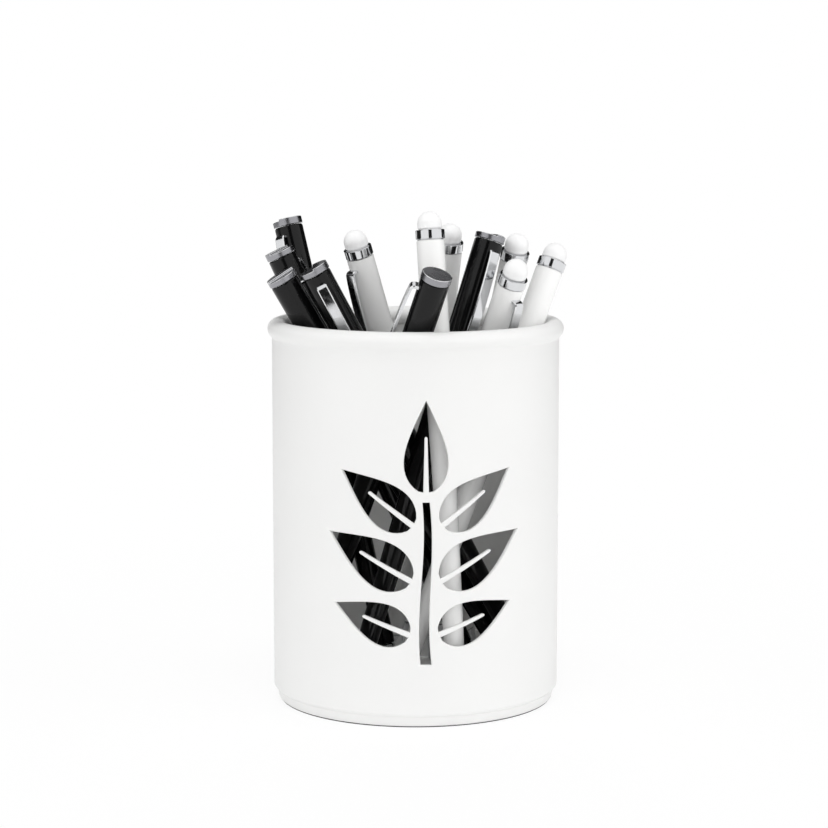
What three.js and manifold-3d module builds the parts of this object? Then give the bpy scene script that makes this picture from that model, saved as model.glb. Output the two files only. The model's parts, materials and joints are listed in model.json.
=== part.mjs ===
// Round desk cup with a rolled rim, a set-in foot and a leaf sprig cut through its front, and the twelve pens
// that stand in it and lift out. Sizes are in millimetres, +Z is up, and the front faces -Y.
// The origin is the centre of the underside.

import * as THREE from 'three';
import { mergeVertices } from 'three/addons/utils/BufferGeometryUtils.js';
import Module from 'manifold-3d';

const wasm = await Module();
wasm.setup();

// Clearance kept between two pieces that seat on each other
const seatGap = 0.3;

// Cup: tube, rim, floor pan and pad
const cupRadius = 40;
const cupHeight = 106.8;
const wallSheet = 1.2;
const rimRadius = 2.6;
const rimOverhang = 1.2;
const rimSheet = 1.2;
const rimCurlEnd = 250;
const footSkirtHeight = 3;
const footSkirtInset = 0.95;
const footSkirtTaper = 0.5;
const footEdgeRound = 1.4;
const footEdgeTuck = 0.7;
const panSheet = 1.2;
const panFlangeTop = 11;
const panCorner = 0.8;
const skirtCorner = 0.4;
const padThickness = 0.5;
const padInset = 1.8;

// Leaf sprig cut through the front; the across and up values run along the tube's outside face
const sprigTurn = 4;
const sprigCentreHeight = 52.5;
const stemBottom = -35;
const stemTop = 9;
const stemWidth = 3;
const stemSway = 1.4;
const leafBridge = 2.2;
const topLeafLength = 25;
const topLeafWidth = 12;
const leafRoundness = 0.62;
const leafRootShare = 0.03;
const veinRootShare = 0.018;
const veinWidth = 1.5;
const veinShare = 0.6;
const stemTaper = 0.35;
const cutterReach = 5;
const leafPairs = [
  { up: -27, length: 23, width: 11.5, angle: 70 },
  { up: -12.5, length: 27, width: 13, angle: 62 },
  { up: 2.5, length: 25, width: 12, angle: 54 },
];

// Pens
const penLength = 136.5;
const penFloorGap = 0.3;
const nibLength = 13;
const nibPointRadius = 0.5;
const nibRadius = 2.7;
const nibPointLength = 2.2;
const nibShoulderHeight = 7.8;
const nibShoulderRadius = 1.9;
const spigotRadius = 1.8;
const spigotLength = 4;
const waistHeight = 70;
const waistShare = 0.62;
const fullHeight = 100;
const blackBarrelRadius = 4;
const crownRadius = 4.15;
const crownHeight = 2;
const crownStep = 0.5;
const crownEdge = 0.2;
const whiteBarrelRadius = 3.8;
const collarRadius = 3.95;
const collarHeight = 2.5;
const domeRadius = 3.3;
const domeHeight = 4.7;
const domeArcEnd = 75;
const clipWidth = 2.9;
const clipSheet = 0.8;
const clipReach = 2.1;
const clipLength = 30;
const clipBend = 2;
const clipStraightEnd = 0.6;
const clipTurnIn = 0.75;
const clipTouch = 0.9;
const clipTipLift = 0.24;
const blackClipDrop = 4.6;
const whiteClipDrop = 10.3;

// Each pen: where its point stands on the floor and where its middle crosses the height of the rim,
// counted in steps of the tube's radius, and the way its clip faces, in degrees from +X
const stepsPerRadius = 80;
const blackPens = [
  { foot: [-11, -8], rim: [-59, 21], clip: -122 },
  { foot: [38, 4], rim: [-56, 0], clip: 50 },
  { foot: [60, 4], rim: [-56, -22], clip: 25 },
  { foot: [70, -6], rim: [-37, -29], clip: -90 },
  { foot: [-65, 26], rim: [0, -62], clip: 180 },
  { foot: [-38, -59], rim: [25, -25], clip: -65 },
];
const whitePens = [
  { foot: [36, 46], rim: [-20, 6], clip: -135 },
  { foot: [23, -66], rim: [11, -44], clip: 90 },
  { foot: [-6, 70], rim: [14, 14], clip: 90 },
  { foot: [8, 69], rim: [47, 7], clip: 90 },
  { foot: [-21, 48], rim: [43, -29], clip: -50 },
  { foot: [-14, -52], rim: [62, -10], clip: 70 },
];

// Facets round the cup, round a pen, round the rolled rim and the foot's edge, along a leaf and over a dome
const cupFacets = 60;
const penFacets = 12;
const rimFacets = 12;
const footEdgeFacets = 3;
const leafFacets = 8;
const domeFacets = 4;

// Settling of the pens: clearance kept round each, rods per barrel, samples per rod and rounds at most
const penClearance = 0.2;
const barrelRods = 8;
const rodSamples = 6;
const settleRounds = 400;

// Worked-out sizes of the cup
const wallInside = cupRadius - wallSheet;
const skirtTopRadius = cupRadius - footSkirtInset;
const rimCentreRadius = cupRadius + rimOverhang - rimRadius;
const rimCentreHeight = cupHeight - rimRadius;
const panFloorHeight = padThickness + panSheet;
const flangeOutside = wallInside - seatGap;
const flangeInside = flangeOutside - panSheet;
const penPointHeight = panFloorHeight + penFloorGap;

// A closed geometry with shared corners, no slivers and its faces pointing out
function tidy(source) {
  const bare = source.index ? source.clone() : source;
  bare.deleteAttribute('normal');
  bare.deleteAttribute('uv');
  const merged = mergeVertices(bare, 1e-4);
  const place = merged.attributes.position;
  const corners = [];
  const a = new THREE.Vector3();
  const b = new THREE.Vector3();
  const c = new THREE.Vector3();
  let volume = 0;
  for (let i = 0; i < merged.index.count; i += 3) {
    const [p, q, r] = [0, 1, 2].map((k) => merged.index.getX(i + k));
    if (p === q || q === r || r === p) continue;
    corners.push(p, q, r);
    a.fromBufferAttribute(place, p);
    b.fromBufferAttribute(place, q);
    c.fromBufferAttribute(place, r);
    volume += a.dot(b.cross(c));
  }
  if (volume < 0) corners.reverse();
  merged.setIndex(corners);
  return merged;
}

function toSolid(geometry) {
  const closed = tidy(geometry);
  return new wasm.Manifold(new wasm.Mesh({
    numProp: 3,
    vertProperties: new Float32Array(closed.attributes.position.array),
    triVerts: new Uint32Array(closed.index.array),
  }));
}

function fromSolid(solid) {
  const mesh = solid.getMesh();
  const geometry = new THREE.BufferGeometry();
  const places = new Float32Array(mesh.vertProperties.length / mesh.numProp * 3);
  for (let i = 0; i < places.length / 3; i++) {
    for (let k = 0; k < 3; k++) places[3 * i + k] = mesh.vertProperties[mesh.numProp * i + k];
  }
  geometry.setAttribute('position', new THREE.BufferAttribute(places, 3));
  geometry.setIndex(Array.from(mesh.triVerts));
  return geometry;
}

// A body turned about Z from [radius, height] pairs
function turned(pairs, facets) {
  const points = pairs.map(([r, z]) => new THREE.Vector2(r, z));
  return tidy(new THREE.LatheGeometry(points, facets).rotateX(Math.PI / 2));
}

function ring(pairs, facets) {
  return turned([...pairs, pairs[0]], facets);
}

// Points on an arc in the [radius, height] plane, from one angle to another in degrees
function arc(centre, radius, from, to, steps) {
  const points = [];
  for (let i = 0; i <= steps; i++) {
    const angle = THREE.MathUtils.degToRad(from + (to - from) * i / steps);
    points.push([centre[0] + radius * Math.cos(angle), centre[1] + radius * Math.sin(angle)]);
  }
  return points;
}

// The tube's lower edge, turned in along a quarter round
function footEdge() {
  const points = [];
  for (let i = 0; i <= footEdgeFacets; i++) {
    const angle = Math.PI / 2 * i / footEdgeFacets;
    points.push([
      cupRadius - footEdgeTuck * (1 - Math.sin(angle)),
      footSkirtHeight + footEdgeRound * (1 - Math.cos(angle)),
    ]);
  }
  return points;
}

// Rolled tube: straight sheet with its foot edge turned in and its top curled into a hollow rim
function cupWallBlank() {
  const centre = [rimCentreRadius, rimCentreHeight];
  const rimInner = rimRadius - rimSheet;
  const startOut = -THREE.MathUtils.radToDeg(Math.acos((cupRadius - centre[0]) / rimRadius));
  const startIn = -THREE.MathUtils.radToDeg(Math.acos((wallInside - centre[0]) / rimInner));
  return ring([
    [wallInside, footSkirtHeight],
    ...footEdge(),
    ...arc(centre, rimRadius, startOut, rimCurlEnd, rimFacets),
    ...arc(centre, rimInner, rimCurlEnd, startIn, rimFacets - 2),
  ], cupFacets);
}

// Half width of a leaf at a share of its length: round at the stem end, pointed at the tip
function leafHalfWidth(share, width) {
  return 0.5 * width * Math.sin(Math.PI * share ** leafRoundness);
}

// Outline of one leaf along +X, with its vein left standing as a tongue of metal from the stem end
function leafOutline(length, width) {
  const upper = [];
  for (let i = 0; i <= leafFacets; i++) {
    const share = leafRootShare + (1 - leafRootShare) * (i / leafFacets);
    upper.push([share * length, leafHalfWidth(share, width)]);
  }
  upper[leafFacets][1] = 0;
  const lower = upper.slice(0, leafFacets).reverse().map(([x, y]) => [x, -y]);
  const root = veinRootShare * length;
  const end = veinShare * length;
  const half = veinWidth / 2;
  const thin = half / 2;
  const vein = [[root, -half], [end, -thin], [end + thin, 0], [end, thin], [root, half]];
  return [...upper, ...lower, ...vein];
}

function stemAcross(up) {
  const share = (up - stemBottom) / (stemTop - stemBottom);
  return stemSway * Math.sin(Math.PI * share) * (share - 0.5) * 2;
}

// A flat outline of [across, up] pairs as a cutter that goes through the tube's front wall
function wallCutter(outline) {
  const shape = new THREE.Shape(outline.map(([u, v]) => new THREE.Vector2(u, v)));
  const depth = wallSheet + 2 * cutterReach;
  const flat = new THREE.ExtrudeGeometry(shape, { depth, bevelEnabled: false });
  const place = flat.attributes.position;
  const turn = THREE.MathUtils.degToRad(sprigTurn);
  for (let i = 0; i < place.count; i++) {
    const angle = place.getX(i) / cupRadius + turn;
    const radius = wallInside - cutterReach + place.getZ(i);
    place.setXYZ(i, radius * Math.sin(angle), -radius * Math.cos(angle), sprigCentreHeight + place.getY(i));
  }
  return toSolid(flat);
}

function placedLeaf(across, up, angle, length, width) {
  const turn = THREE.MathUtils.degToRad(90 - angle);
  const outline = leafOutline(length, width);
  return wallCutter(outline.map(([x, y]) => [
    across + x * Math.cos(turn) - y * Math.sin(turn),
    up + x * Math.sin(turn) + y * Math.cos(turn),
  ]));
}

function stemCutter() {
  const right = [];
  const left = [];
  for (let i = 0; i <= leafFacets; i++) {
    const up = stemBottom + (stemTop - stemBottom) * i / leafFacets;
    const half = 0.5 * stemWidth * (1 - stemTaper * i / leafFacets);
    right.push([stemAcross(up) + half, up]);
    left.push([stemAcross(up) - half, up]);
  }
  return wallCutter([...right, ...left.reverse()]);
}

function sprigCutters() {
  const cutters = [stemCutter()];
  cutters.push(placedLeaf(stemAcross(stemTop), stemTop + leafBridge, 0, topLeafLength, topLeafWidth));
  for (const pair of leafPairs) {
    const clear = leafBridge + stemWidth / 2;
    for (const side of [1, -1]) {
      const across = stemAcross(pair.up) + side * clear;
      cutters.push(placedLeaf(across, pair.up, side * pair.angle, pair.length, pair.width));
    }
  }
  return cutters;
}

function cupWall() {
  let wall = toSolid(cupWallBlank());
  for (const cutter of sprigCutters()) wall = wall.subtract(cutter);
  return fromSolid(wall);
}

// Pressed floor with a flange inside the tube; its skirt below the tube is the set-in foot
function basePan() {
  return turned([
    [0, padThickness],
    [skirtTopRadius - footSkirtTaper - skirtCorner, padThickness],
    [skirtTopRadius - footSkirtTaper, padThickness + skirtCorner],
    [skirtTopRadius, footSkirtHeight],
    [flangeOutside, footSkirtHeight],
    [flangeOutside, panFlangeTop],
    [flangeInside, panFlangeTop],
    [flangeInside, panFloorHeight + panCorner],
    [flangeInside - panCorner, panFloorHeight],
    [0, panFloorHeight],
  ], cupFacets);
}

function footPad() {
  const radius = cupRadius - padInset;
  return turned([[0, 0], [radius, 0], [radius, padThickness], [0, padThickness]], cupFacets);
}

// Pen pieces stand on their points at the origin, along +Z
function nib() {
  return turned([
    [0, 0],
    [nibPointRadius, nibPointRadius],
    [nibPointRadius * 1.5, nibPointLength],
    [nibShoulderRadius, nibShoulderHeight],
    [nibRadius, nibLength],
    [spigotRadius, nibLength],
    [spigotRadius, nibLength + spigotLength],
    [0, nibLength + spigotLength],
  ], penFacets);
}

// Barrel: slim at the nib, widening to its full thickness below the clip
function barrel(radius, top) {
  const socket = spigotRadius + seatGap;
  const foot = nibLength + seatGap;
  const depth = spigotLength + seatGap;
  return turned([
    [0, foot + depth],
    [socket, foot + depth],
    [socket, foot],
    [nibRadius, foot],
    [nibRadius + (radius - nibRadius) * waistShare, waistHeight],
    [radius, fullHeight],
    [radius, top],
    [socket, top],
    [socket, top - depth],
    [0, top - depth],
  ], penFacets);
}

const blackBarrelTop = penLength - crownHeight - seatGap;
const collarBottom = penLength - domeHeight - seatGap - collarHeight;
const whiteBarrelTop = collarBottom - seatGap;

// Flat crown with one half standing a step higher
function crown() {
  const foot = penLength - crownHeight;
  const body = turned([
    [0, foot - spigotLength],
    [spigotRadius, foot - spigotLength],
    [spigotRadius, foot],
    [crownRadius, foot],
    [crownRadius, penLength - crownEdge],
    [crownRadius - crownEdge, penLength],
    [0, penLength],
  ], penFacets);
  const size = 3 * crownRadius;
  const notch = new THREE.BoxGeometry(size, size, size);
  notch.translate(0, -size / 2, penLength - crownStep + size / 2);
  return fromSolid(toSolid(body).subtract(toSolid(notch)));
}

function collar() {
  const bore = spigotRadius + seatGap;
  return ring([
    [bore, collarBottom],
    [collarRadius, collarBottom],
    [collarRadius, collarBottom + collarHeight],
    [bore, collarBottom + collarHeight],
  ], penFacets);
}

// Rubber dome whose stem passes through the collar into the barrel
function stylusDome() {
  const foot = penLength - domeHeight;
  return turned([
    [0, whiteBarrelTop - spigotLength],
    [spigotRadius, whiteBarrelTop - spigotLength],
    [spigotRadius, foot],
    [domeRadius, foot],
    ...arc([0, penLength - domeRadius], domeRadius, 0, domeArcEnd, domeFacets),
    [0, penLength],
  ], penFacets);
}

// Sprung clip: a bent strip that leaves the barrel, arches out, runs down beside it and comes back in
function clip(barrelRadius, drop) {
  const root = barrelRadius + seatGap;
  const far = barrelRadius + clipReach + clipSheet / 2;
  const head = penLength - drop;
  const touch = root + clipSheet;
  const path = new THREE.Path();
  path.moveTo(root, head - clipSheet / 2);
  path.lineTo(far - clipBend, head - clipSheet / 2);
  path.quadraticCurveTo(far, head - clipSheet / 2, far, head - clipBend);
  path.lineTo(far, head - clipLength * clipStraightEnd);
  path.quadraticCurveTo(far, head - clipLength * clipTurnIn, touch, head - clipLength * clipTouch);
  path.lineTo(touch + clipTipLift, head - clipLength);
  const line = path.getPoints(4);
  const outer = [];
  const inner = [];
  line.forEach((point, i) => {
    const before = line[Math.max(0, i - 1)];
    const after = line[Math.min(line.length - 1, i + 1)];
    const along = after.clone().sub(before).normalize();
    const across = new THREE.Vector2(-along.y, along.x).multiplyScalar(clipSheet / 2);
    outer.push(point.clone().add(across));
    inner.push(point.clone().sub(across));
  });
  const shape = new THREE.Shape([...outer, ...inner.reverse()]);
  const strip = new THREE.ExtrudeGeometry(shape, { depth: clipWidth, bevelEnabled: false });
  strip.translate(0, 0, -clipWidth / 2);
  strip.rotateX(Math.PI / 2);
  return tidy(strip);
}

const finishes = {
  whiteCoat: { color: 0xf3f3f2, roughness: 0.45, metalness: 0 },
  darkPad: { color: 0x2e2e30, roughness: 0.85, metalness: 0 },
  blackLacquer: { color: 0x0b0b0c, roughness: 0.2, metalness: 0 },
  gunmetal: { color: 0x6b6b6e, roughness: 0.3, metalness: 1 },
  chrome: { color: 0xd9dadc, roughness: 0.12, metalness: 1 },
  whiteLacquer: { color: 0xf6f6f6, roughness: 0.25, metalness: 0 },
  whiteRubber: { color: 0xf4f4f4, roughness: 0.6, metalness: 0 },
};

function named(name, geometry, finish) {
  const mesh = new THREE.Mesh(geometry, new THREE.MeshStandardMaterial(finishes[finish]));
  mesh.name = name;
  return mesh;
}

// A pen stands from its point on the floor, at foot, to its crossing at the height of the rim, at rim.
// Its +Z runs along it, and its +X, where the clip sits, faces the given way.
function lean(pen) {
  const point = new THREE.Vector3(pen.foot.x, pen.foot.y, penPointHeight);
  const up = new THREE.Vector3(pen.rim.x, pen.rim.y, rimCentreHeight).sub(point).normalize();
  const toClip = new THREE.Vector3(Math.cos(pen.facing), Math.sin(pen.facing), 0);
  toClip.addScaledVector(up, -toClip.dot(up)).normalize();
  const side = new THREE.Vector3().crossVectors(up, toClip);
  return new THREE.Matrix4().makeBasis(toClip, side, up).setPosition(point);
}

// Half the thickness of a pen's nib and barrel at a distance from its point
function halfThickness(radius, along) {
  const waist = nibRadius + (radius - nibRadius) * waistShare;
  const places = [[0, nibPointRadius], [nibLength, nibRadius], [waistHeight, waist], [fullHeight, radius]];
  const next = places.findIndex(([at]) => at > along);
  if (next < 0) return radius;
  const [[from, thin], [to, thick]] = [places[next - 1], places[next]];
  return thin + (thick - thin) * (along - from) / (to - from);
}

// A pen as rods with round ends: stretches of its nib and barrel, and two along its clip
function rodsOf(pen) {
  const place = lean(pen);
  const rod = (out, side, from, to, radius) => {
    const line = new THREE.Line3(new THREE.Vector3(out, side, from), new THREE.Vector3(out, side, to));
    return { line: line.applyMatrix4(place), radius };
  };
  const cuts = [nibPointRadius, nibLength / 2, nibLength];
  for (let i = 1; i <= barrelRods; i++) cuts.push(nibLength + (penLength - nibLength) * i / barrelRods);
  const rods = cuts.slice(1).map((to, i) => rod(0, 0, cuts[i], to, halfThickness(pen.radius, to)));
  const head = penLength - pen.clipDrop;
  const half = clipSheet;
  for (const side of [1, -1]) {
    const across = side * (clipWidth / 2 - half);
    rods.push(rod(pen.radius + clipReach, across, head - clipLength * clipTouch, head - half, half));
  }
  return rods;
}

// Nearest points of two straight lines
function nearest(one, two) {
  const a = one.delta(new THREE.Vector3());
  const b = two.delta(new THREE.Vector3());
  const between = one.start.clone().sub(two.start);
  const [aa, bb, ab] = [a.dot(a), b.dot(b), a.dot(b)];
  const spread = Math.max(aa * bb - ab * ab, 1e-9);
  let t = THREE.MathUtils.clamp((aa * b.dot(between) - ab * a.dot(between)) / spread, 0, 1);
  const s = THREE.MathUtils.clamp((ab * t - a.dot(between)) / aa, 0, 1);
  t = THREE.MathUtils.clamp((ab * s + b.dot(between)) / bb, 0, 1);
  return [one.at(s, new THREE.Vector3()), two.at(t, new THREE.Vector3())];
}

// How far a point inside the cup is from the flange, the wall or the rolled rim
function roomAt(point) {
  const out = Math.hypot(point.x, point.y);
  const toRim = Math.hypot(out - rimCentreRadius, point.z - rimCentreHeight) - rimRadius;
  if (point.z > rimCentreHeight) return toRim;
  return Math.min(toRim, (point.z < panFlangeTop ? flangeInside : wallInside) - out);
}

// The place where two pens stand closest, with how much their clearance falls short
function tightest(rodsA, rodsB) {
  let worst = { short: 0 };
  for (const one of rodsA) {
    for (const two of rodsB) {
      const [a, b] = nearest(one.line, two.line);
      const short = one.radius + two.radius + penClearance - a.distanceTo(b);
      if (short > worst.short) worst = { short, a, b };
    }
  }
  return worst;
}

// The place where a pen stands closest to the cup
function tightestToCup(rods) {
  let worst = { short: 0 };
  for (const { line, radius } of rods) {
    for (let k = 0; k <= rodSamples; k++) {
      const a = line.at(k / rodSamples, new THREE.Vector3());
      const short = radius + penClearance - roomAt(a);
      if (short > worst.short) worst = { short, a, b: a.clone().multiplyScalar(2) };
    }
  }
  return worst;
}

// Tilts a pen so that it moves away from a point, level with the floor, at the place where it is tight
function nudge(pen, place, from, distance) {
  const away = new THREE.Vector2(place.x - from.x, place.y - from.y).setLength(distance);
  const share = (place.z - penPointHeight) / (rimCentreHeight - penPointHeight);
  const weight = (1 - share) ** 2 + share ** 2;
  pen.foot.addScaledVector(away, (1 - share) / weight);
  pen.rim.addScaledVector(away, share / weight);
}

// Loose pens find room for themselves: they are pushed off each other and off the cup, a little at
// a time, until each has its clearance. A layout that is clear already stays as it is.
function settle(pens) {
  let shift = 1;
  for (let round = 0; round < settleRounds && shift > 0; round++) {
    shift = 0;
    const rods = pens.map(rodsOf);
    pens.forEach((pen, i) => {
      const cup = tightestToCup(rods[i]);
      if (cup.short > 0) nudge(pen, cup.a, cup.b, cup.short);
      shift += cup.short;
      for (let j = 0; j < i; j++) {
        const { short, a, b } = tightest(rods[i], rods[j]);
        if (short > 0) {
          nudge(pen, a, b, short / 2);
          nudge(pens[j], b, a, short / 2);
        }
        shift += short;
      }
    });
  }
  return pens;
}

const holder = new THREE.Group();
holder.add(named('cup_wall', cupWall(), 'whiteCoat'));
holder.add(named('base_pan', basePan(), 'whiteCoat'));
holder.add(named('foot_pad', footPad(), 'darkPad'));

function blackPen(name) {
  return [
    named(`${name}_barrel`, barrel(blackBarrelRadius, blackBarrelTop), 'blackLacquer'),
    named(`${name}_crown`, crown(), 'gunmetal'),
    named(`${name}_clip`, clip(blackBarrelRadius, blackClipDrop), 'chrome'),
    named(`${name}_nib`, nib(), 'chrome'),
  ];
}

function whitePen(name) {
  return [
    named(`${name}_barrel`, barrel(whiteBarrelRadius, whiteBarrelTop), 'whiteLacquer'),
    named(`${name}_collar`, collar(), 'chrome'),
    named(`${name}_stylus_dome`, stylusDome(), 'whiteRubber'),
    named(`${name}_clip`, clip(whiteBarrelRadius, whiteClipDrop), 'chrome'),
    named(`${name}_nib`, nib(), 'chrome'),
  ];
}

// A pen's place in the layout, in millimetres, with the sizes that settling needs
function penAt(spot, kind) {
  const step = cupRadius / stepsPerRadius;
  return {
    foot: new THREE.Vector2(...spot.foot).multiplyScalar(step),
    rim: new THREE.Vector2(...spot.rim).multiplyScalar(step),
    facing: THREE.MathUtils.degToRad(spot.clip),
    ...kind,
  };
}

const blackKind = { radius: blackBarrelRadius, clipDrop: blackClipDrop };
const whiteKind = { radius: whiteBarrelRadius, clipDrop: whiteClipDrop };
const pens = settle([
  ...blackPens.map((spot, i) => ({ pieces: blackPen(`black_pen_${i + 1}`), ...penAt(spot, blackKind) })),
  ...whitePens.map((spot, i) => ({ pieces: whitePen(`white_pen_${i + 1}`), ...penAt(spot, whiteKind) })),
]);
for (const pen of pens) {
  const group = new THREE.Group();
  group.applyMatrix4(lean(pen));
  group.add(...pen.pieces);
  holder.add(group);
}

export default holder;
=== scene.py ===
import json
import math

import bmesh
import bpy
from mathutils import Matrix, Vector
from mathutils.geometry import delaunay_2d_cdt


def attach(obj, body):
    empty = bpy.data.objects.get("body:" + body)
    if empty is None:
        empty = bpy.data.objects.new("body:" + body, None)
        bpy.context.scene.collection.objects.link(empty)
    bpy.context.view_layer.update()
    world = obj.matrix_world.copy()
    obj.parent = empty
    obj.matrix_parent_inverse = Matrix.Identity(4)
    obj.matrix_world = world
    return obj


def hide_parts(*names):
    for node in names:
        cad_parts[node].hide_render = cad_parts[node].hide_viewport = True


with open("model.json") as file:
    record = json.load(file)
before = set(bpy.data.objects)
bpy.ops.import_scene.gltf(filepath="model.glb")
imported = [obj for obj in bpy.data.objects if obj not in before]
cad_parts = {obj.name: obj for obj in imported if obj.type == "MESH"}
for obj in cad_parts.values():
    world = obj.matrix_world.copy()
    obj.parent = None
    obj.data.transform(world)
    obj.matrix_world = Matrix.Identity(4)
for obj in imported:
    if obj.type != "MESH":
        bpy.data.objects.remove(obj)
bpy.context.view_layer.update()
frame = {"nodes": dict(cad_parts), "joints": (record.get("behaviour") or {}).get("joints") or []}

# Sizes are in millimetres and angles in degrees, until a mesh is made in metres
MM = 0.001

# Cup: tube, rolled rim, foot
CUP_RADIUS = 40.0
CUP_HEIGHT = 106.8
WALL_SHEET = 1.2
RIM_RADIUS = 2.6
RIM_OVERHANG = 1.2
RIM_SHEET = 1.2
RIM_CURL_END = 250
RIM_FILLET = 0.7
SKIRT_HEIGHT = 3.0
SKIRT_INSET = 0.95
SKIRT_TAPER = 0.5
FOOT_EDGE_ROUND = 1.4
FOOT_EDGE_TUCK = 0.7
FOOT_EDGE_SHARE = 0.6
FOOT_EDGE_SOFT = 0.6
SHEET_CHAMFER = 0.1
PAN_SHEET = 1.2
PAN_FLANGE_TOP = 11.0
PAN_BEND = 0.5
PAD_THICKNESS = 0.5
# The pad is foam and gives under the pan, so less of it shows than its full thickness; its dark edge is
# painted shade for the contact shadow under the foot
PAD_SHOWN = 0.24
PAD_INSET = 1.8
PAD_SOFT = 0.05

# Clearance where one piece seats on another, and the share of it that a neck fills
SEAT_GAP = 0.3
NECK_SHARE = 0.9

# Leaf sprig cut through the front of the tube; the across and up values run along its outside face
SPRIG_TURN = 4
SPRIG_CENTRE = 52.5
STEM_BOTTOM = -35
STEM_TOP = 9
STEM_WIDTH = 3.0
STEM_SWAY = 1.4
STEM_TAPER = 0.35
LEAF_BRIDGE = 2.2
LEAF_ROUNDNESS = 0.62
LEAF_ROOT_SHARE = 0.03
VEIN_ROOT_SHARE = 0.018
VEIN_WIDTH = 1.5
VEIN_SHARE = 0.6
VEIN_END_SHARE = 0.5
TOP_LEAF = {"length": 25, "width": 12}
LEAF_PAIRS = [
    {"up": -27, "length": 23, "width": 11.5, "angle": 70},
    {"up": -12.5, "length": 27, "width": 13, "angle": 62},
    {"up": 2.5, "length": 25, "width": 12, "angle": 54},
]
# Rounding of the cut edges, and how sharply a widened outline may point
CUT_EDGE = 0.22
MITRE_LIMIT = 0.6

# Pens
PEN_LENGTH = 136.5
NIB_LENGTH = 13.0
NIB_POINT_RADIUS = 0.5
NIB_RADIUS = 2.7
NIB_POINT_LENGTH = 2.2
NIB_BALL_SHARE = 0.8
NIB_BALL_HEIGHT = 0.15
NIB_ROOT_SHARE = 1.5
NIB_SHOULDER_HEIGHT = 7.8
NIB_SHOULDER_RADIUS = 1.9
NIB_SOFT = 0.25
WAIST_HEIGHT = 70.0
WAIST_SHARE = 0.62
FULL_HEIGHT = 100.0
BARREL_LAND = 0.3
BARREL_SOFT = 9
EDGE_CUT = 0.15
EDGE_SOFT = 0.1
BLACK_RADIUS = 4.0
WHITE_RADIUS = 3.8
CROWN_RADIUS = 4.15
CROWN_HEIGHT = 2.0
CROWN_STEP = 0.5
CROWN_EDGE = 0.2
NECK_INSET = 0.4
COLLAR_RADIUS = 3.95
COLLAR_HEIGHT = 2.5
COLLAR_SOFT = 0.16
DOME_RADIUS = 3.3
DOME_HEIGHT = 4.7
DOME_ARC_END = 88
SPIGOT_RADIUS = 1.8
SPIGOT_LENGTH = 4.0
CLIP_WIDTH = 2.9
CLIP_SHEET = 0.8
CLIP_REACH = 2.1
CLIP_LENGTH = 30.0
CLIP_BEND = 2.0
CLIP_HEEL_START = 0.55
CLIP_HEEL_END = 0.6
CLIP_HEEL_OUT = 0.12
CLIP_FOOT_SINK = 0.3
CLIP_STRAIGHT_END = 0.6
CLIP_TURN_IN = 0.75
CLIP_TOUCH = 0.9
CLIP_TIP_LIFT = 0.24
CLIP_BEVEL = 0.26
CLIP_BOW = 0.95
CLIP_BOW_END = 0.45
BLACK_CLIP_DROP = 4.6
WHITE_CLIP_DROP = 10.3

# Facets round the cup and round a pen, and how finely the rest of the meshes is cut
CUP_FACETS = 192
PEN_FACETS = 64
WALL_ROWS = 48
WALL_MARGIN = 0.55
FRONT_MARGIN = 3
RIM_STEPS = 40
BORE_STEPS = 28
SPRIG_STEPS = 26
VEIN_STEPS = 8
BARREL_STEPS = 8
DOME_STEPS = 20
HEEL_STEPS = 8
BOW_STEPS = 11
TURN_STEPS = 10

# Edges stay smooth up to these angles, and the crown's edges are bevelled above the last one
SMOOTH_BELOW = 38
WALL_SMOOTH_BELOW = 40
CLIP_SMOOTH_BELOW = 30
CROWN_SMOOTH_BELOW = 25
CROWN_BEVEL_ABOVE = 50


def linear(code):
    """The linear RGBA of an sRGB colour written in hex."""
    parts = [int(code[i:i + 2], 16) / 255 for i in (1, 3, 5)]
    return [p / 12.92 if p <= 0.04045 else ((p + 0.055) / 1.055) ** 2.4 for p in parts] + [1.0]


def add(tree, kind, links=None, **settings):
    """One node with its settings; links maps an input's name or number to another node's output."""
    node = tree.nodes.new(kind)
    for key, value in settings.items():
        if key in node.inputs:
            node.inputs[key].default_value = value
        elif key.replace("_", " ") in node.inputs:
            node.inputs[key.replace("_", " ")].default_value = value
        else:
            setattr(node, key, value)
    for key, output in (links or {}).items():
        tree.links.new(output, node.inputs[key])
    return node


# Finishes

def finish(name, surface, **sockets):
    """A material with one Principled shader; surface adds the nodes that its detail needs."""
    material = bpy.data.materials.new(name)
    material.use_nodes = True
    tree = material.node_tree
    tree.nodes.clear()
    shader = add(tree, "ShaderNodeBsdfPrincipled", **sockets)
    add(tree, "ShaderNodeOutputMaterial", {"Surface": shader.outputs["BSDF"]})
    place = add(tree, "ShaderNodeTexCoord")
    surface(tree, shader, place.outputs["Object"])
    return material


def grain(tree, where, size, detail=2.0, stretch=(1, 1, 1)):
    """Noise whose blotches are about size millimetres across, drawn out along an axis by stretch."""
    scaled = add(tree, "ShaderNodeMapping", {"Vector": where}, Scale=stretch)
    return add(tree, "ShaderNodeTexNoise", {"Vector": scaled.outputs["Vector"]},
               Scale=1 / (size * MM), Detail=detail)


def spread(tree, shader, socket, noise, low, high):
    """Lets a shader's value wander between low and high with a noise."""
    ramp = add(tree, "ShaderNodeMapRange", {"Value": noise.outputs[0]},
               From_Min=0.3, From_Max=0.7, To_Min=low, To_Max=high)
    tree.links.new(ramp.outputs["Result"], shader.inputs[socket])


def tint(tree, shader, noise, light, dark):
    """Base colour that wanders between two close colours."""
    mix = add(tree, "ShaderNodeMix", {0: noise.outputs[0]}, data_type="RGBA")
    mix.inputs[6].default_value = linear(light)
    mix.inputs[7].default_value = linear(dark)
    tree.links.new(mix.outputs[2], shader.inputs["Base Color"])


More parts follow.
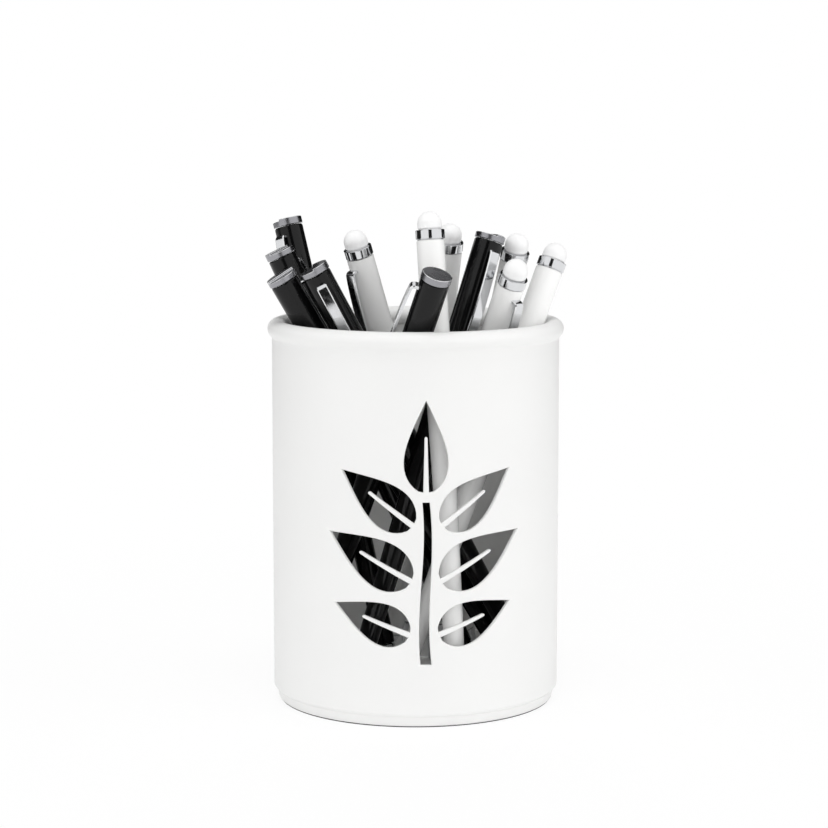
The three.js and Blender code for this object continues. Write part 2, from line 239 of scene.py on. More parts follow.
def relief(tree, shader, noise, depth):
    """Bump whose hills are depth millimetres high."""
    bump = add(tree, "ShaderNodeBump", {"Height": noise.outputs[0]}, Strength=1.0, Distance=depth * MM)
    tree.links.new(bump.outputs["Normal"], shader.inputs["Normal"])


def powder_coat(tree, shader, where):
    tint(tree, shader, grain(tree, where, 30), "#f4f4f3", "#f0f0ef")
    spread(tree, shader, "Roughness", grain(tree, where, 6), 0.42, 0.52)
    relief(tree, shader, grain(tree, where, 0.9, 1.0), 0.006)


def inner_coat_painted_shade(tree, shader, where):
    # Painted shade: greyer than the outside coat, standing in for the shade inside the tube
    tint(tree, shader, grain(tree, where, 18), "#f0f0ef", "#e9e9e8")
    spread(tree, shader, "Roughness", grain(tree, where, 4), 0.55, 0.68)
    relief(tree, shader, grain(tree, where, 0.7, 2.0), 0.01)


def foam(tree, shader, where):
    # Painted shade: the dark grey stands in for the contact shadow line under the foot
    tint(tree, shader, grain(tree, where, 0.8, 3.0), "#3a3a3c", "#2a2a2c")
    spread(tree, shader, "Roughness", grain(tree, where, 2), 0.8, 0.95)
    relief(tree, shader, grain(tree, where, 0.5, 3.0), 0.03)


def black_gloss(tree, shader, where):
    tint(tree, shader, grain(tree, where, 12), "#0d0d0e", "#090909")
    spread(tree, shader, "Roughness", grain(tree, where, 5), 0.12, 0.17)
    relief(tree, shader, grain(tree, where, 6, 1.0), 0.0015)


def white_gloss(tree, shader, where):
    tint(tree, shader, grain(tree, where, 14), "#fdfdfc", "#fafaf9")
    spread(tree, shader, "Roughness", grain(tree, where, 5), 0.16, 0.22)
    relief(tree, shader, grain(tree, where, 6, 1.0), 0.0015)


def brushed(tree, shader, where):
    tint(tree, shader, grain(tree, where, 0.5, 1.0, (1, 0.15, 0.3)), "#a6a6aa", "#9c9ca0")
    spread(tree, shader, "Roughness", grain(tree, where, 3), 0.24, 0.3)


def edge_highlight_tint(tree, shader, where):
    # Painted highlight: a plate much paler than the rest, put on bevelled edges so they read as bright
    # lines
    tint(tree, shader, grain(tree, where, 4), "#f2f3f4", "#eaebec")
    spread(tree, shader, "Roughness", grain(tree, where, 1.5), 0.16, 0.24)


def plated(tree, shader, where):
    tint(tree, shader, grain(tree, where, 5), "#e2e3e5", "#d7d8da")
    spread(tree, shader, "Roughness", grain(tree, where, 1.5), 0.06, 0.12)
    relief(tree, shader, grain(tree, where, 5.0, 1.0), 0.0008)


def silicone(tree, shader, where):
    tint(tree, shader, grain(tree, where, 3), "#fbfbfb", "#f7f7f7")
    spread(tree, shader, "Roughness", grain(tree, where, 1), 0.5, 0.62)
    relief(tree, shader, grain(tree, where, 0.3, 2.0), 0.004)


FINISHES = {
    # Polyester powder coat, baked: satin white with a faint orange peel under a soft light
    "white_powder_coat": finish("satin_white_powder_coat", powder_coat, IOR=1.5),
    # The same coat inside the tube, thinner and drier; its greyer colour is painted shade for the dim
    # inside of the tube
    "inside_coat_painted_shade": finish("inside_powder_coat_painted_shade", inner_coat_painted_shade, IOR=1.5),
    # Cut EVA foam sheet, dry and full of fine cells; its dark colour is painted shade for the contact
    # shadow line under the foot
    "dark_pad": finish("eva_foam_painted_contact_shadow", foam, IOR=1.45),
    # Lacquered brass tube: deep black with clean, narrow reflections
    "black_lacquer": finish("gloss_black_lacquer", black_gloss, IOR=1.36),
    # Dark plated and brushed brass: grey metal that breaks its highlights into fine lines
    "gunmetal": finish("brushed_gunmetal_plate", brushed, Metallic=1.0),
    # The same plate with its edges painted paler: a painted highlight drawn as a thin pale outline
    "edge_painted_highlight": finish("plate_edge_painted_highlight", edge_highlight_tint, Metallic=1.0),
    # Polished chrome plate: mirrors the white room and its dark edges
    "chrome": finish("polished_chrome_plate", plated, Metallic=1.0),
    # Lacquered brass tube: clean white gloss
    "white_lacquer": finish("gloss_white_lacquer", white_gloss, IOR=1.5),
    # Moulded silicone: soft, dry white without a gleam
    "white_silicone": finish("white_silicone_rubber", silicone, IOR=1.41),
}


# Shapes

def solid(name, verts, faces, finishes, sharp=SMOOTH_BELOW, place=None, pick=None):
    """A closed piece from points in millimetres, smooth but for edges sharper than sharp degrees."""
    mesh = bpy.data.meshes.new(name)
    build = bmesh.new()
    corners = [build.verts.new([c * MM for c in v]) for v in verts]
    for face in faces:
        build.faces.new([corners[i] for i in face])
    bmesh.ops.remove_doubles(build, verts=build.verts, dist=1e-6)
    bmesh.ops.recalc_face_normals(build, faces=build.faces)
    limit = math.radians(sharp)
    for edge in build.edges:
        edge.smooth = len(edge.link_faces) == 2 and edge.calc_face_angle(0) < limit
    for face in build.faces:
        face.smooth = True
        if pick:
            face.material_index = pick(face.calc_center_median() / MM)
    build.to_mesh(mesh)
    build.free()
    for slot in finishes:
        mesh.materials.append(FINISHES[slot])
    piece = bpy.data.objects.new(name, mesh)
    bpy.context.scene.collection.objects.link(piece)
    if place:
        piece.matrix_world = place
    return piece


def even(piece):
    """Keeps large faces flat next to small rounded edges, so mirrors look true."""
    shading = piece.modifiers.new("even_shading", "WEIGHTED_NORMAL")
    shading.keep_sharp = True
    return piece


def softened(points, radius, steps=3):
    """The same line with each inner corner rounded over at most radius millimetres."""
    line = [points[0]]
    for before, corner, after in zip(points, points[1:], points[2:]):
        a, b, c = Vector(before), Vector(corner), Vector(after)
        start = b + (a - b).normalized() * min(radius, 0.45 * (a - b).length)
        end = b + (c - b).normalized() * min(radius, 0.45 * (c - b).length)
        for i in range(steps + 1):
            t = i / steps
            line.append(tuple(start.lerp(b, t).lerp(b.lerp(end, t), t)))
    return line + [points[-1]]


def arc(centre, radius, start, end, steps):
    """Points on an arc in the (radius, height) plane, from one angle to another in degrees."""
    angles = [math.radians(start + (end - start) * i / steps) for i in range(steps + 1)]
    return [(centre[0] + radius * math.cos(a), centre[1] + radius * math.sin(a)) for a in angles]


def spun(profile, facets, closed=False):
    """Points and faces of a profile of (radius, height) pairs turned about Z."""
    verts, rings, faces = [], [], []
    for radius, height in profile:
        count = 1 if radius < 1e-6 else facets
        rings.append(range(len(verts), len(verts) + count))
        for i in range(count):
            angle = 2 * math.pi * i / facets
            verts.append((radius * math.sin(angle), -radius * math.cos(angle), height))
    pairs = list(zip(rings, rings[1:])) + ([(rings[-1], rings[0])] if closed else [])
    for low, high in pairs:
        for i in range(facets):
            j = (i + 1) % facets
            ring = [low[i % len(low)], low[j % len(low)], high[j % len(high)], high[i % len(high)]]
            face = list(dict.fromkeys(ring))
            if len(face) > 2:
                faces.append(face)
    return verts, faces


def turned(name, profile, slot, place=None, facets=PEN_FACETS, closed=False):
    verts, faces = spun(profile, facets, closed)
    piece = even(solid(name, verts, faces, [slot], place=place))
    return piece


# Cup wall with the sprig

def leaf_outline(length, width):
    """Outline of a leaf along +X with its vein left standing as a tongue from the stem end."""
    upper = []
    for i in range(SPRIG_STEPS + 1):
        share = LEAF_ROOT_SHARE + (1 - LEAF_ROOT_SHARE) * i / SPRIG_STEPS
        upper.append((share * length, 0.5 * width * math.sin(math.pi * share ** LEAF_ROUNDNESS)))
    upper[-1] = (length, 0.0)
    lower = [(x, -y) for x, y in reversed(upper[:-1])]
    root, end, half = VEIN_ROOT_SHARE * length, VEIN_SHARE * length, VEIN_WIDTH / 2
    # Rounded end of the vein, from its lower corner over the middle to its upper corner
    shape = [(0, -VEIN_END_SHARE), (0.35, -0.3), (0.5, 0), (0.35, 0.3), (0, VEIN_END_SHARE)]
    tip = [(end + half * along, half * across) for along, across in shape]
    under = []
    for i in range(VEIN_STEPS):
        share = i / VEIN_STEPS
        under.append((root + (end - root) * share, -half * (1 - (1 - VEIN_END_SHARE) * share)))
    over = [(x, -y) for x, y in reversed(under)]
    return upper + lower + under + tip + over


def stem_across(up):
    share = (up - STEM_BOTTOM) / (STEM_TOP - STEM_BOTTOM)
    return STEM_SWAY * math.sin(math.pi * share) * (share - 0.5) * 2


def placed_leaf(across, up, angle, length, width):
    turn = math.radians(90 - angle)
    c, s = math.cos(turn), math.sin(turn)
    return [(across + x * c - y * s, up + x * s + y * c) for x, y in leaf_outline(length, width)]


def sprig_outlines():
    """Closed outlines of the sprig's openings, as (across, height) on the tube's outside face."""
    right, left = [], []
    for i in range(SPRIG_STEPS + 1):
        up = STEM_BOTTOM + (STEM_TOP - STEM_BOTTOM) * i / SPRIG_STEPS
        half = 0.5 * STEM_WIDTH * (1 - STEM_TAPER * i / SPRIG_STEPS)
        right.append((stem_across(up) + half, up))
        left.append((stem_across(up) - half, up))
    outlines = [right + left[::-1]]
    outlines.append(placed_leaf(stem_across(STEM_TOP), STEM_TOP + LEAF_BRIDGE, 0, **TOP_LEAF))
    clear = LEAF_BRIDGE + STEM_WIDTH / 2
    for pair in LEAF_PAIRS:
        for side in (1, -1):
            up, across = pair["up"], stem_across(pair["up"]) + side * clear
            leaf = placed_leaf(across, up, side * pair["angle"], pair["length"], pair["width"])
            outlines.append(leaf)
    shift = math.radians(SPRIG_TURN) * CUP_RADIUS
    return [[(u + shift, v + SPRIG_CENTRE) for u, v in outline] for outline in outlines]


def widened(outline, by):
    """The outline moved outward by a small amount, with its corners cut short."""
    area = sum(a[0] * b[1] - b[0] * a[1] for a, b in zip(outline, outline[1:] + outline[:1]))
    sign = 1 if area > 0 else -1
    grown = []
    for i, here in enumerate(outline):
        before, after = Vector(outline[i - 1]), Vector(outline[(i + 1) % len(outline)])
        point = Vector(here)
        one, two = (point - before).normalized(), (after - point).normalized()
        out = Vector((one.y + two.y, -one.x - two.x)) * sign
        if out.length < 1e-6:
            out = one.copy()
        out.normalize()
        edge = Vector((one.y, -one.x)) * sign
        grown.append(tuple(point + out * by / max(MITRE_LIMIT, out.dot(edge))))
    return grown


def inside(point, outline):
    hit = False
    for (x1, y1), (x2, y2) in zip(outline, outline[1:] + outline[:1]):
        if (y1 > point[1]) != (y2 > point[1]):
            if point[0] < x1 + (point[1] - y1) * (x2 - x1) / (y2 - y1):
                hit = not hit
    return hit


def near(point, outline, reach):
    return any((point[0] - x) ** 2 + (point[1] - y) ** 2 < reach * reach for x, y in outline)


def wall_levels():
    low, high = SKIRT_HEIGHT + FOOT_EDGE_ROUND, CUP_HEIGHT - 2 * RIM_RADIUS - RIM_FILLET
    return [low + (high - low) * i / WALL_ROWS for i in range(WALL_ROWS + 1)]


def pierced_front(columns, levels, cuts):
    """Flat triangles of the tube's front with the openings left out, and the cut edges' loops."""
    pitch = 2 * math.pi * CUP_RADIUS / CUP_FACETS
    grown = [widened(cut, CUT_EDGE) for cut in cuts]
    points, edges, loops = [], [], []
    for outline in grown:
        first = len(points)
        points += outline
        loop = list(range(first, len(points)))
        edges += list(zip(loop, loop[1:] + loop[:1]))
        loops.append(loop)
    for i in columns:
        for z in levels:
            spot = (i * pitch, z)
            if i in (columns[0], columns[-1]) or z in (levels[0], levels[-1]):
                points.append(spot)
            elif not any(near(spot, g, WALL_MARGIN) or inside(spot, g) for g in grown):
                points.append(spot)
    flat, _, faces, origin, _, _ = delaunay_2d_cdt([Vector(p) for p in points], edges, [], 0, 1e-6)
    number = {old: new for new, olds in enumerate(origin) for old in olds}
    kept = []
    for face in faces:
        middle = sum((flat[i] for i in face), Vector((0, 0))) / len(face)
        if not any(inside(middle, g) for g in grown):
            kept.append(list(face))
    return [tuple(p) for p in flat], kept, [[number[i] for i in loop] for loop in loops]


def bent(across, height, radius):
    angle = across / CUP_RADIUS
    return (radius * math.sin(angle), -radius * math.cos(angle), height)


def rim_profile(low):
    """Section of the hollow rolled rim, from the outside of the wall round to its inside."""
    centre = (CUP_RADIUS + RIM_OVERHANG - RIM_RADIUS, CUP_HEIGHT - RIM_RADIUS)
    bore = RIM_RADIUS - RIM_SHEET
    wall_inside = CUP_RADIUS - WALL_SHEET
    start = -math.degrees(math.acos((CUP_RADIUS - centre[0]) / RIM_RADIUS))
    back = -math.degrees(math.acos((wall_inside - centre[0]) / bore))
    outer = arc(centre, RIM_RADIUS, start, RIM_CURL_END, RIM_STEPS)
    neck = softened([(CUP_RADIUS, low), outer[0], outer[2]], RIM_FILLET, steps=4)
    lip = arc(centre, (RIM_RADIUS + bore) / 2, RIM_CURL_END, RIM_CURL_END, 1)[:1]
    inner = arc(centre, bore, RIM_CURL_END, back, BORE_STEPS)
    return neck + outer[3:] + lip + inner + [(wall_inside, low)]


def foot_profile(high):
    """Section of the tube's lower edge, from the inside round to the outside."""
    wall_inside, tucked = CUP_RADIUS - WALL_SHEET, CUP_RADIUS - FOOT_EDGE_TUCK
    low, above = SKIRT_HEIGHT, SKIRT_HEIGHT + SHEET_CHAMFER
    turn = (CUP_RADIUS, low + FOOT_EDGE_ROUND * FOOT_EDGE_SHARE)
    edge = softened([(tucked, above), turn, (CUP_RADIUS, high)], FOOT_EDGE_SOFT, steps=5)
    return [(wall_inside, high), (wall_inside, above), (wall_inside + SHEET_CHAMFER, low),
            (tucked - EDGE_CUT, low), (tucked, above), *edge[1:]]


def cup_wall():
    cuts = sprig_outlines()
    levels = wall_levels()
    pitch = 2 * math.pi * CUP_RADIUS / CUP_FACETS
    side = math.ceil((max(abs(u) for cut in cuts for u, v in cut) + FRONT_MARGIN) / pitch)
    flat, tiles, loops = pierced_front(list(range(-side, side + 1)), levels, cuts)
    verts, faces, skins = [], [], []
    for radius in (CUP_RADIUS, CUP_RADIUS - WALL_SHEET):
        first = len(verts)
        skins.append(first)
        verts += [bent(u, v, radius) for u, v in flat]
        faces += [[first + i for i in tile] for tile in tiles]
        for i in range(side, CUP_FACETS - side):
            for low, high in zip(levels, levels[1:]):
                face = len(verts)
                verts += [bent(i * pitch, low, radius), bent((i + 1) * pitch, low, radius),
                          bent((i + 1) * pitch, high, radius), bent(i * pitch, high, radius)]
                faces.append([face, face + 1, face + 2, face + 3])
    for cut, loop in zip(cuts, loops):
        rings = [[skins[0] + i for i in loop]]
        for radius in (CUP_RADIUS - CUT_EDGE, CUP_RADIUS - WALL_SHEET + CUT_EDGE):
            rings.append(list(range(len(verts), len(verts) + len(cut))))
            verts += [bent(u, v, radius) for u, v in cut]
        rings.append([skins[1] + i for i in loop])
        for one, two in zip(rings, rings[1:]):
            for i in range(len(cut)):
                j = (i + 1) % len(cut)
                faces.append([one[i], one[j], two[j], two[i]])
    for profile in (rim_profile(levels[-1]), foot_profile(levels[0])):
        more, shells = spun(profile, CUP_FACETS)
        faces += [[len(verts) + i for i in shell] for shell in shells]
        verts += more
    middle_of_sheet = CUP_RADIUS - WALL_SHEET / 2

    def coat(middle):
        # Faces on the inside of the tube below the rim get the coat with painted shade
        return 1 if math.hypot(middle.x, middle.y) < middle_of_sheet and middle.z < levels[-1] else 0

    slots = ["white_powder_coat", "inside_coat_painted_shade"]
    piece = solid("cup_wall_sheet", verts, faces, slots, WALL_SMOOTH_BELOW, pick=coat)
    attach(piece, "holder")
    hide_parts("cup_wall")
    return piece


def base_pan():
    top = CUP_RADIUS - SKIRT_INSET
    low = top - SKIRT_TAPER
    outside = CUP_RADIUS - WALL_SHEET - SEAT_GAP
    within = outside - PAN_SHEET
    floor = PAD_THICKNESS + PAN_SHEET
    corners = [(0, PAD_SHOWN), (low, PAD_SHOWN), (top, SKIRT_HEIGHT), (outside, SKIRT_HEIGHT),
               (outside, PAN_FLANGE_TOP), (within, PAN_FLANGE_TOP), (within, floor), (0, floor)]
    profile = softened(corners, PAN_BEND)
    piece = turned("base_pan_pressing", profile, "white_powder_coat", facets=CUP_FACETS)
    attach(piece, "holder")
    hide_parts("base_pan")


def foot_pad():
    radius = CUP_RADIUS - PAD_INSET
    corners = [(0, 0), (radius, 0), (radius, PAD_SHOWN), (0, PAD_SHOWN)]
    # The pad's dark colour is painted contact shadow under the foot
    piece = turned("foot_pad_painted_shadow", softened(corners, PAD_SOFT), "dark_pad", facets=CUP_FACETS)
    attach(piece, "holder")
    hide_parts("foot_pad")


# Pens, each made standing on its point at the origin with its clip towards +X, then put in its place

def pen_place(body, axis):
    """A pen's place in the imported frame: its point, its Z along the joint, its X towards its clip."""
    up = Vector(axis).normalized()
    across = up.orthogonal().normalized()
    side = up.cross(across)
    points = [v.co for v in frame["nodes"][f"{body}_nib"].data.vertices]
    wide, deep, tall = [[p.dot(d) for p in points] for d in (across, side, up)]
    point = across * (min(wide) + max(wide)) / 2 + side * (min(deep) + max(deep)) / 2 + up * min(tall)
    clip = [v.co for v in frame["nodes"][f"{body}_clip"].data.vertices]
    out = sum(clip, Vector()) / len(clip) - point
    out -= up * out.dot(up)
    out.normalize()
    turn = Matrix((out, up.cross(out), up)).transposed().to_4x4()
    return Matrix.Translation(point) @ turn


def nib():
    point, root = NIB_POINT_RADIUS, NIB_POINT_RADIUS * NIB_ROOT_SHARE
    cone = [(0, 0), (point * NIB_BALL_SHARE, NIB_BALL_HEIGHT), (point, point), (root, NIB_POINT_LENGTH),
            (NIB_SHOULDER_RADIUS, NIB_SHOULDER_HEIGHT), (NIB_RADIUS, NIB_LENGTH),
            (SPIGOT_RADIUS, NIB_LENGTH), (SPIGOT_RADIUS, NIB_LENGTH + SPIGOT_LENGTH),
            (0, NIB_LENGTH + SPIGOT_LENGTH)]
    return softened(cone, NIB_SOFT)


def barrel(radius, top):
    """Tube that swells from the nib over its waist to its full thickness, with a socket at each end."""
    socket, foot, depth = SPIGOT_RADIUS + SEAT_GAP, NIB_LENGTH + SEAT_GAP, SPIGOT_LENGTH + SEAT_GAP
    waist = NIB_RADIUS + (radius - NIB_RADIUS) * WAIST_SHARE
    lower = [(0, foot + depth), (socket, foot + depth), (socket, foot), (NIB_RADIUS - EDGE_CUT, foot)]
    upper = [(radius - EDGE_CUT, top), (socket, top), (socket, top - depth), (0, top - depth)]
    side = softened([(NIB_RADIUS, foot + BARREL_LAND), (waist, WAIST_HEIGHT),
                     (radius, FULL_HEIGHT), (radius, top - BARREL_LAND)], BARREL_SOFT, BARREL_STEPS)
    return softened(lower, EDGE_SOFT) + side + softened(upper, EDGE_SOFT)


def crown(name, place):
    """Round cap on a narrower neck, one half of its top standing a step higher, with a painted
    highlight on its bevelled edges.
    """
    foot, low, high = PEN_LENGTH - CROWN_HEIGHT, PEN_LENGTH - CROWN_STEP, PEN_LENGTH
    neck, under = CROWN_RADIUS - NECK_INSET, foot - SEAT_GAP * NECK_SHARE
    side = [(0, foot - SPIGOT_LENGTH), (SPIGOT_RADIUS, foot - SPIGOT_LENGTH), (SPIGOT_RADIUS, under),
            (neck, under), (neck, foot), (CROWN_RADIUS - EDGE_SOFT, foot),
            (CROWN_RADIUS, foot + EDGE_SOFT), (CROWN_RADIUS, low)]
    verts, faces = spun(side, PEN_FACETS)
    ring = list(range(len(verts) - PEN_FACETS, len(verts)))
    quarter = PEN_FACETS // 4
    raised = [ring[(quarter + i) % PEN_FACETS] for i in range(PEN_FACETS // 2 + 1)]
    lowered = [ring[(3 * quarter + i) % PEN_FACETS] for i in range(PEN_FACETS // 2 + 1)]
    top = []
    for i in raised:
        top.append(len(verts))
        verts.append((verts[i][0], verts[i][1], high))
    faces += [[raised[i], raised[i + 1], top[i + 1], top[i]] for i in range(len(raised) - 1)]
    faces += [top, lowered, [raised[0], top[0], top[-1], raised[-1]]]

    def plate(middle):
        # The neck under the cap is lacquered with the barrel
        return 2 if middle.z < foot + 0.02 else 0

    slots = ["gunmetal", "edge_painted_highlight", "black_lacquer"]
    piece = solid(name, verts, faces, slots, CROWN_SMOOTH_BELOW, place, plate)
    edge = piece.modifiers.new("painted_highlight_edges", "BEVEL")
    edge.width = CROWN_EDGE * MM
    edge.segments = 2
    edge.limit_method = "ANGLE"
    edge.angle_limit = math.radians(CROWN_BEVEL_ABOVE)
    edge.harden_normals = True
    # The bevels take the paler plate, a painted highlight along the crown's edges
    edge.material = 1
    return piece


def collar_profile(bottom):
    bore, radius, top = SPIGOT_RADIUS + SEAT_GAP, COLLAR_RADIUS, bottom + COLLAR_HEIGHT
    neck, under = radius - NECK_INSET, bottom - SEAT_GAP * NECK_SHARE
    corners = [(bore, under), (neck, under), (neck, bottom), (radius, bottom),
               (radius, top), (bore, top)]
    return softened(corners, COLLAR_SOFT)


def dome_profile(seat):
    """Round tip on a short side and a neck, with a spigot down into the barrel at seat."""
    foot = PEN_LENGTH - DOME_HEIGHT
    neck, under = DOME_RADIUS - NECK_INSET, foot - SEAT_GAP * NECK_SHARE
    tip = arc((0, PEN_LENGTH - DOME_RADIUS), DOME_RADIUS, 0, DOME_ARC_END, DOME_STEPS)
    return [(0, seat - SPIGOT_LENGTH), (SPIGOT_RADIUS, seat - SPIGOT_LENGTH), (SPIGOT_RADIUS, under),
            (neck, under), (neck, foot), (DOME_RADIUS - EDGE_CUT, foot),
            (DOME_RADIUS, foot + EDGE_CUT), *tip, (0, PEN_LENGTH)]


def clip_path(radius, drop):
    """Middle line of the clip's strip in the (out, up) plane, from the barrel out, down and back in."""
    root = radius + SEAT_GAP
    far = radius + CLIP_REACH + CLIP_SHEET / 2
    head, touch = PEN_LENGTH - drop, root + CLIP_SHEET
    top = head - CLIP_SHEET / 2

    def curve(a, b, c, steps):
        a, b, c = Vector(a), Vector(b), Vector(c)
        return [a.lerp(b, i / steps).lerp(b.lerp(c, i / steps), i / steps) for i in range(steps + 1)]

    heel = far - CLIP_BOW
    path = [Vector((radius - CLIP_FOOT_SINK, top))]
    path += curve((heel - CLIP_BEND * CLIP_HEEL_START, top), (heel, top),
                  (heel + CLIP_HEEL_OUT, head - CLIP_BEND * CLIP_HEEL_END), HEEL_STEPS)
    for i in range(1, BOW_STEPS + 1):
        # Share of the bow's length, whose first tenth the heel takes up
        bow = 0.1 + 0.9 * i / BOW_STEPS
        path.append(Vector((far - CLIP_BOW * (1 - bow) ** 2, head - CLIP_LENGTH * CLIP_BOW_END * bow)))
    path += curve((far, head - CLIP_LENGTH * CLIP_STRAIGHT_END),
                  (far, head - CLIP_LENGTH * CLIP_TURN_IN),
                  (touch, head - CLIP_LENGTH * CLIP_TOUCH), TURN_STEPS)
    path.append(Vector((touch + CLIP_TIP_LIFT, head - CLIP_LENGTH)))
    return path


def clip(name, radius, drop, place):
    """Flat strip with bevelled edges, swept along the clip's path."""
    half, thick, cut = CLIP_WIDTH / 2, CLIP_SHEET / 2, CLIP_BEVEL
    section = [(thick, half - cut), (thick - cut, half), (-thick, half), (-thick, -half),
               (thick - cut, -half), (thick, cut - half)]
    path = clip_path(radius, drop)
    verts, faces = [], []
    for i, point in enumerate(path):
        along = (path[min(i + 1, len(path) - 1)] - path[max(i - 1, 0)]).normalized()
        out = Vector((-along.y, along.x))
        verts += [(point.x + out.x * a, b, point.y + out.y * a) for a, b in section]
    count = len(section)
    for i in range(len(path) - 1):
        for k in range(count):
            m = (k + 1) % count
            faces.append([i * count + k, i * count + m, (i + 1) * count + m, (i + 1) * count + k])
    faces += [list(range(count)), list(range(len(verts) - count, len(verts)))]

    def plate(middle):
        # The two narrow bevels get the paler plate, a painted highlight
        return 1 if abs(abs(middle.y) - half + cut / 2) < cut * 0.3 else 0

    slots = ["chrome", "edge_painted_highlight"]
    piece = solid(name, verts, faces, slots, CLIP_SMOOTH_BELOW, place, plate)
    return piece


def pen(body, axis):
    place = pen_place(body, axis)
    collar = PEN_LENGTH - DOME_HEIGHT - SEAT_GAP - COLLAR_HEIGHT
    black = body.startswith("black")
    if black:
        radius, drop, lacquer = BLACK_RADIUS, BLACK_CLIP_DROP, "black_lacquer"
        top = PEN_LENGTH - CROWN_HEIGHT - SEAT_GAP
    else:
        radius, drop, lacquer = WHITE_RADIUS, WHITE_CLIP_DROP, "white_lacquer"
        top = collar - SEAT_GAP
    pieces = {
        "nib": turned(f"{body}_nib_cone", nib(), "chrome", place),
        "barrel": turned(f"{body}_barrel_tube", barrel(radius, top), lacquer, place),
        "clip": clip(f"{body}_clip_strip", radius, drop, place),
    }
    if black:
        pieces["crown"] = crown(f"{body}_crown_cap", place)
    else:
        ring, tip = collar_profile(collar), dome_profile(top)
        pieces["collar"] = turned(f"{body}_collar_ring", ring, "chrome", place, closed=True)
        pieces["stylus_dome"] = turned(f"{body}_stylus_dome_tip", tip, "white_silicone", place)
    for part, piece in pieces.items():
        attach(piece, body)
        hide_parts(f"{body}_{part}")


cup_wall()
base_pan()
foot_pad()
for joint in frame["joints"]:
    pen(joint["child"], joint["axis"])


# Studio in metres: white floor and room, soft lamps, dark flags that only reflections see, camera

ROOM_LIGHT = 0.56
FLOOR_REACH = 8.0
# Where the floor's fade to full white starts and ends, and its share of white before it
FLOOR_FADE_START = 0.06
FLOOR_FADE_END = 0.3
FLOOR_NEAR_SHARE = 0.85
LAMP_AIM = (0, 0, 0.07)
# The photograph's camera, fitted to the cup's rim, foot and sides; lens and sensor in millimetres
LENS = 108.35
SENSOR = 36
CAMERA_PLACE = (-0.00044, -0.6913, 0.1724)
CAMERA_LOOKS_DOWN = 7.62
# Name, place, width, height and watts
LAMPS = [
    ("front", (0, -1.3, 0.36), 0.6, 0.45, 3.0),
    ("right", (1.26, -0.3, 0.5), 0.8, 0.9, 3.5),
    ("left", (-1.27, -0.22, 0.5), 0.8, 0.9, 2.3),
    ("top", (0, -0.3, 1.3), 0.6, 0.6, 4.5),
    ("back", (0, 1.3, 0.5), 0.9, 0.7, 2.6),
]
# Name, azimuth in degrees, distance, width, foot and head
FLAGS = [
    ("flag_camera", -90, 0.9, 0.4, 0, 1.2),
    ("flag_left", 150, 0.8, 1.5, 0, 1.2),
    ("flag_right", 45, 0.8, 1.1, 0, 1.2),
    ("flag_behind", 90, 1.1, 0.9, 0.3, 1.4),
]


def seen_directly(tree):
    """1 for camera, glossy and transmission rays, else 0."""
    rays = add(tree, "ShaderNodeLightPath").outputs
    either = add(tree, "ShaderNodeMath", {0: rays["Is Camera Ray"], 1: rays["Is Glossy Ray"]},
                 operation="MAXIMUM")
    any_of_them = add(tree, "ShaderNodeMath", {0: either.outputs[0], 1: rays["Is Transmission Ray"]},
                      operation="MAXIMUM")
    return any_of_them.outputs[0]


def room():
    """White room: full white to the eye and to reflections, dimmer as a light."""
    world = bpy.data.worlds.new("white_room")
    world.use_nodes = True
    tree = world.node_tree
    tree.nodes.clear()
    lit = add(tree, "ShaderNodeBackground", Color=linear("#ffffff"), Strength=ROOM_LIGHT)
    seen = add(tree, "ShaderNodeBackground", Color=linear("#ffffff"), Strength=1.0)
    mix = add(tree, "ShaderNodeMixShader",
              {0: seen_directly(tree), 1: lit.outputs[0], 2: seen.outputs[0]})
    add(tree, "ShaderNodeOutputWorld", {"Surface": mix.outputs[0]})
    bpy.context.scene.world = world


def board(name, corners, material):
    """One flat face between four corners in metres."""
    mesh = bpy.data.meshes.new(name)
    mesh.from_pydata(corners, [], [(0, 1, 2, 3)])
    mesh.materials.append(material)
    piece = bpy.data.objects.new(name, mesh)
    bpy.context.scene.collection.objects.link(piece)
    return piece


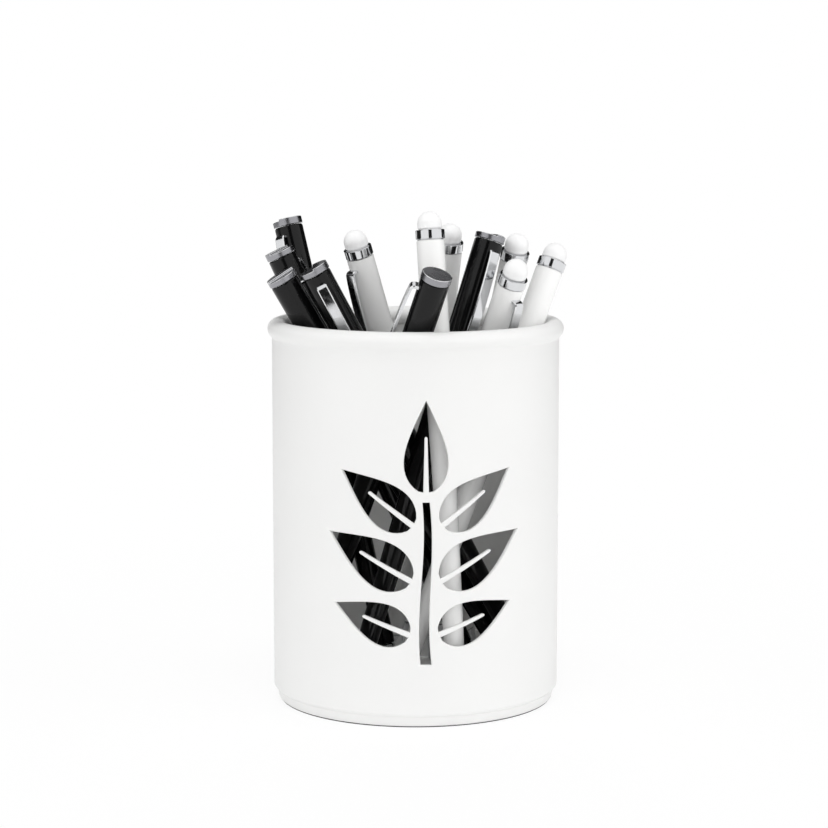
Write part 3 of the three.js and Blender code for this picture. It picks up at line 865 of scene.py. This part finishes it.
def floor():
    """White floor that keeps the shadow near the cup and fades to full white away from it."""
    material = bpy.data.materials.new("white_floor")
    material.use_nodes = True
    tree = material.node_tree
    tree.nodes.clear()
    paint = add(tree, "ShaderNodeBsdfDiffuse", Color=linear("#fdfdfd"))
    glow = add(tree, "ShaderNodeEmission", Color=linear("#ffffff"), Strength=1.0)
    place = add(tree, "ShaderNodeTexCoord")
    away = add(tree, "ShaderNodeVectorMath", {0: place.outputs["Object"]}, operation="LENGTH")
    fade = add(tree, "ShaderNodeMapRange", {"Value": away.outputs["Value"]},
               interpolation_type="SMOOTHSTEP", From_Min=FLOOR_FADE_START, From_Max=FLOOR_FADE_END,
               To_Min=FLOOR_NEAR_SHARE, To_Max=1.0)
    share = add(tree, "ShaderNodeMath", {0: seen_directly(tree), 1: fade.outputs["Result"]},
                operation="MULTIPLY")
    mix = add(tree, "ShaderNodeMixShader",
              {0: share.outputs[0], 1: paint.outputs[0], 2: glow.outputs[0]})
    add(tree, "ShaderNodeOutputMaterial", {"Surface": mix.outputs[0]})
    reach = FLOOR_REACH
    corners = [(-reach, -reach, 0), (reach, -reach, 0), (reach, reach, 0), (-reach, reach, 0)]
    plane = board("floor", corners, material)


def softbox(name, place, width, height, power):
    """Area lamp aimed at the middle of the cup."""
    lamp = bpy.data.lights.new(name, "AREA")
    lamp.shape = "RECTANGLE"
    lamp.size = width
    lamp.size_y = height
    lamp.energy = power
    light = bpy.data.objects.new(name, lamp)
    bpy.context.scene.collection.objects.link(light)
    light.location = place
    aim = Vector(LAMP_AIM) - Vector(place)
    light.rotation_euler = aim.to_track_quat("-Z", "Y").to_euler()
    light.visible_glossy = False


def flag_cloth():
    material = bpy.data.materials.new("black_flag_cloth")
    material.use_nodes = True
    shader = material.node_tree.nodes["Principled BSDF"]
    shader.inputs["Base Color"].default_value = linear("#0c0c0c")
    shader.inputs["Roughness"].default_value = 0.9
    return material


def flag(name, azimuth, distance, width, low, high, cloth):
    """Dark upright card that only reflections see, standing azimuth degrees from +X round the cup."""
    half = width / 2
    corners = [(-half, 0, low), (half, 0, low), (half, 0, high), (-half, 0, high)]
    card = board(name, corners, cloth)
    angle = math.radians(azimuth)
    card.location = (distance * math.cos(angle), distance * math.sin(angle), 0)
    card.rotation_euler = (0, 0, angle + math.pi / 2)
    for kind in ("camera", "diffuse", "transmission", "volume_scatter", "shadow"):
        setattr(card, f"visible_{kind}", False)


def camera():
    lens = bpy.data.cameras.new("camera")
    lens.sensor_width = SENSOR
    lens.lens = LENS
    view = bpy.data.objects.new("camera", lens)
    bpy.context.scene.collection.objects.link(view)
    view.location = CAMERA_PLACE
    view.rotation_euler = (math.radians(90 - CAMERA_LOOKS_DOWN), 0, 0)
    bpy.context.scene.camera = view


room()
floor()
for lamp in LAMPS:
    softbox(*lamp)
black_cloth = flag_cloth()
for place in FLAGS:
    flag(*place, black_cloth)
camera()
bpy.context.scene.view_settings.view_transform = "Standard"
